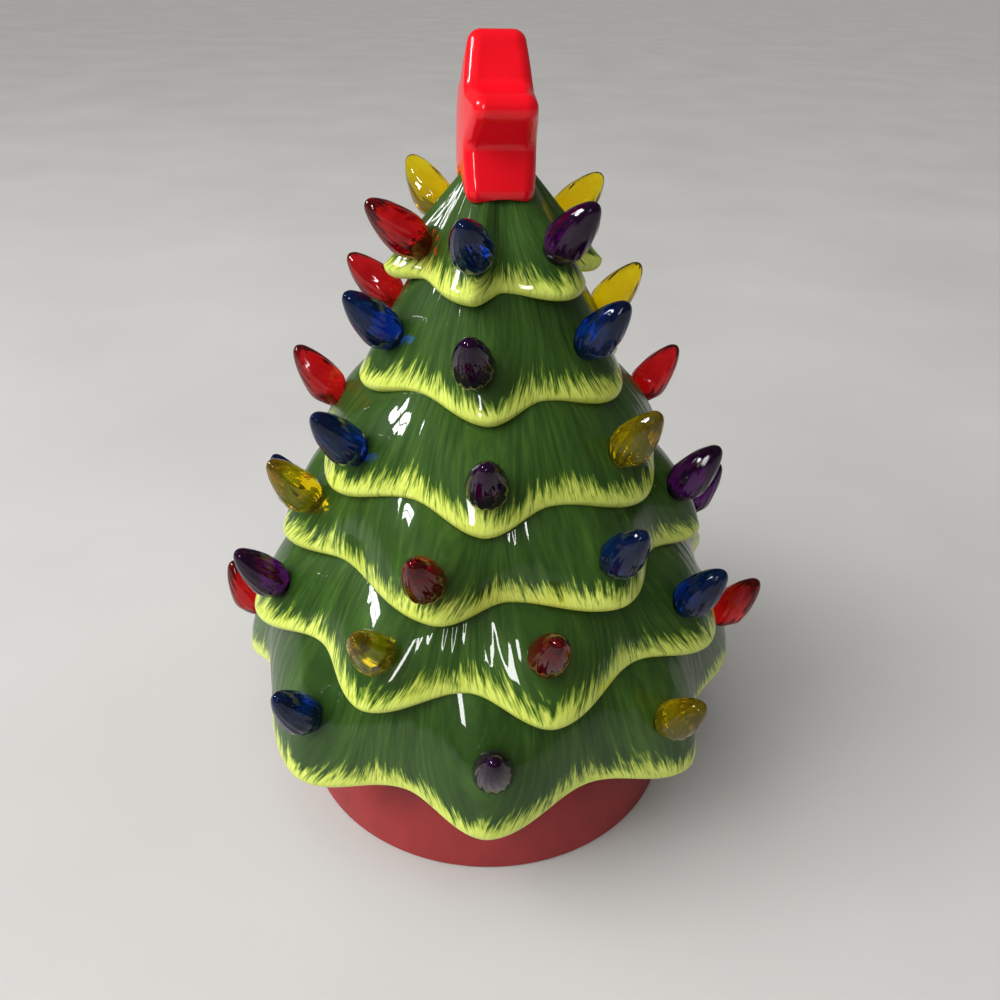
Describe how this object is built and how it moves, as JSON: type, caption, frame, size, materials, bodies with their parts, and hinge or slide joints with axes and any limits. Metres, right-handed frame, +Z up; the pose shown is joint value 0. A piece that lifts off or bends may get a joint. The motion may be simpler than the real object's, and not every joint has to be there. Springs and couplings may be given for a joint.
{
  "type": "ceramic christmas tree",
  "caption": "Glazed ceramic christmas tree with scalloped tiers, coloured push-in bulbs and a star, on a battery base that lights it from inside.",
  "frame": {"origin": "middle of the base, on the table plane under the feet", "axes": "+Z up, -Y is the pictured front, +X is to the right as seen from the front"},
  "size_m": [0.1748, 0.1791, 0.2299],
  "materials": {
    "tree_glaze": "gloss glaze, dark green with brushed lime tips",
    "star_red": "gloss",
    "base_red": "satin",
    "bulb_red": "clear gloss",
    "bulb_blue": "clear gloss",
    "bulb_yellow": "clear gloss",
    "bulb_purple": "clear gloss",
    "plate_black": "matte",
    "door_black": "matte",
    "foot_rubber": "matte",
    "screw_steel": "satin",
    "cell_wrap": "gloss wrap",
    "contact_steel": "satin",
    "switch_grey": "matte",
    "knob_white": "satin",
    "board_green": "satin",
    "lamp_clear": "clear gloss",
    "lead_red": "satin"
  },
  "bodies": {
    "base": {"base_shell": "base_red", "base_plate": "plate_black", "plate_screws": "screw_steel", "rubber_feet": "foot_rubber", "left_battery_cell": "cell_wrap", "middle_battery_cell": "cell_wrap", "right_battery_cell": "cell_wrap", "battery_contacts": "contact_steel", "switch_housing": "switch_grey", "led_board": "board_green", "board_screws": "screw_steel", "led_lamps": "lamp_clear", "lead_wires": "lead_red"},
    "tree": {"tree_shell": "tree_glaze", "star_topper": "star_red", "top_tier_bulb_1": "bulb_yellow", "top_tier_bulb_2": "bulb_red", "top_tier_bulb_3": "bulb_blue", "top_tier_bulb_4": "bulb_purple", "top_tier_bulb_5": "bulb_yellow", "top_tier_bulb_6": "bulb_red", "second_tier_bulb_1": "bulb_red", "second_tier_bulb_2": "bulb_blue", "second_tier_bulb_3": "bulb_purple", "second_tier_bulb_4": "bulb_blue", "second_tier_bulb_5": "bulb_yellow", "second_tier_bulb_6": "bulb_purple", "third_tier_bulb_1": "bulb_yellow", "third_tier_bulb_2": "bulb_red", "third_tier_bulb_3": "bulb_blue", "third_tier_bulb_4": "bulb_purple", "third_tier_bulb_5": "bulb_yellow", "third_tier_bulb_6": "bulb_red", "third_tier_bulb_7": "bulb_blue", "fourth_tier_bulb_1": "bulb_red", "fourth_tier_bulb_2": "bulb_yellow", "fourth_tier_bulb_3": "bulb_red", "fourth_tier_bulb_4": "bulb_blue", "fourth_tier_bulb_5": "bulb_purple", "fourth_tier_bulb_6": "bulb_blue", "fourth_tier_bulb_7": "bulb_yellow", "fifth_tier_bulb_1": "bulb_red", "fifth_tier_bulb_2": "bulb_blue", "fifth_tier_bulb_3": "bulb_purple", "fifth_tier_bulb_4": "bulb_yellow", "fifth_tier_bulb_5": "bulb_red", "fifth_tier_bulb_6": "bulb_blue", "fifth_tier_bulb_7": "bulb_purple", "fifth_tier_bulb_8": "bulb_yellow", "bottom_tier_bulb_1": "bulb_purple", "bottom_tier_bulb_2": "bulb_yellow", "bottom_tier_bulb_3": "bulb_red", "bottom_tier_bulb_4": "bulb_blue", "bottom_tier_bulb_5": "bulb_purple", "bottom_tier_bulb_6": "bulb_yellow", "bottom_tier_bulb_7": "bulb_red", "bottom_tier_bulb_8": "bulb_blue"},
    "battery_door": {"battery_door": "door_black"},
    "switch_slider": {"switch_slider": "knob_white"}
  },
  "joints": [
    {"name": "tree_lift", "type": "slide", "parent": "base", "child": "tree", "axis": [0, 0, 1], "range_m": [0, 0.05]},
    {"name": "battery_door_hinge", "type": "hinge", "parent": "base", "child": "battery_door", "pos_m": [0, -0.02695, 0.0035], "axis": [-1, 0, 0], "range_deg": [0, 90]},
    {"name": "switch_slide", "type": "slide", "parent": "base", "child": "switch_slider", "axis": [0, 1, 0], "range_m": [0, 0.004]}
  ]
}
